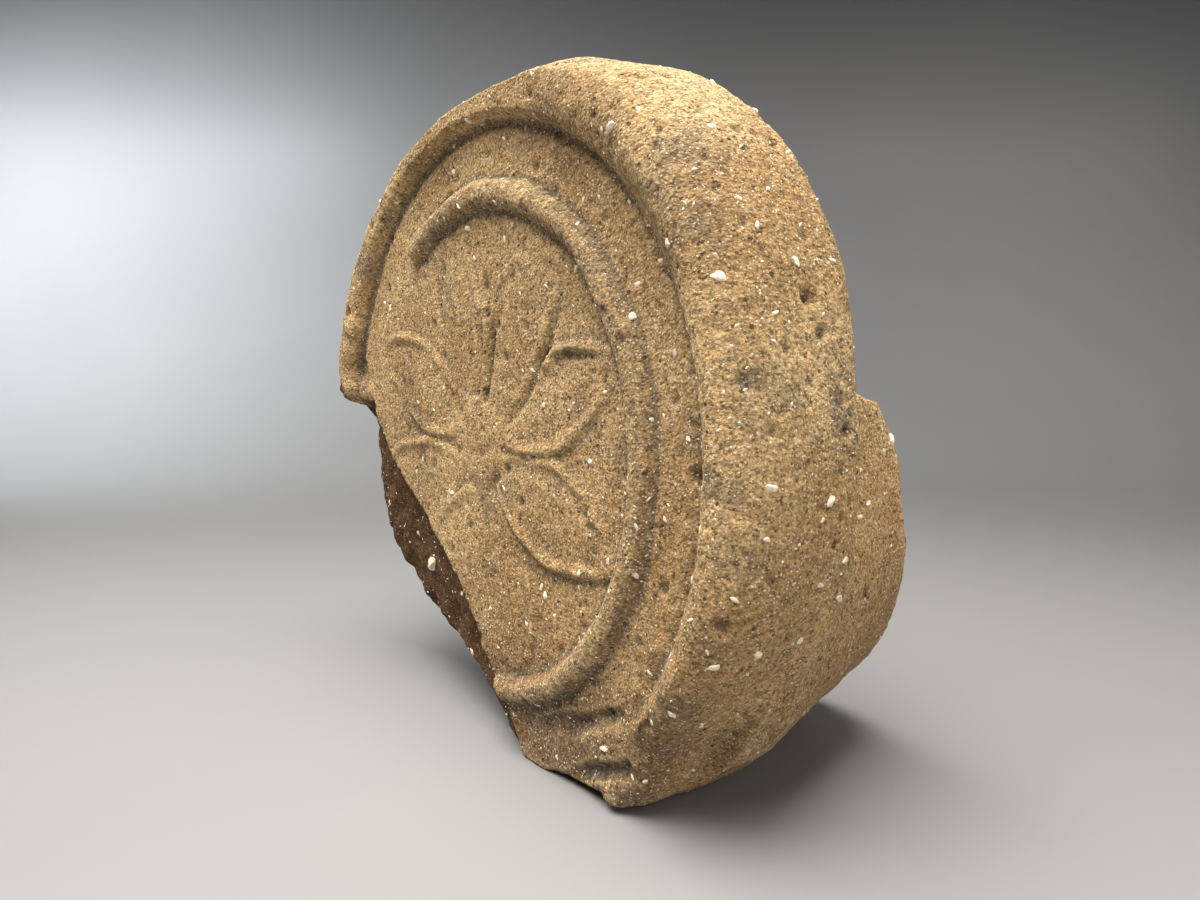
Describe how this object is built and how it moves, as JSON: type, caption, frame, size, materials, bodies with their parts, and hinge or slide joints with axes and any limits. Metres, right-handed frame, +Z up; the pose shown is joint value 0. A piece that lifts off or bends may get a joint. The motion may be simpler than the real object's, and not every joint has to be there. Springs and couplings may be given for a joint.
{
  "type": "round eave end tile",
  "caption": "Broken fired-clay roof tile end: a disc with a lotus in low relief inside a raised cord and rim, and the stub of its barrel tile behind.",
  "frame": {"origin": "on the flat underside, below the middle of the weight and half way through the disc's plate", "axes": "+Z up as the tile stands on its broken underside; the decorated face looks along -Y, and the barrel tile's axis runs along +Y"},
  "size_m": [0.1726, 0.0869, 0.1543],
  "materials": {
    "fired_clay": "matte"
  },
  "bodies": {
    "root": {"eave_tile": "fired_clay"}
  },
  "joints": []
}
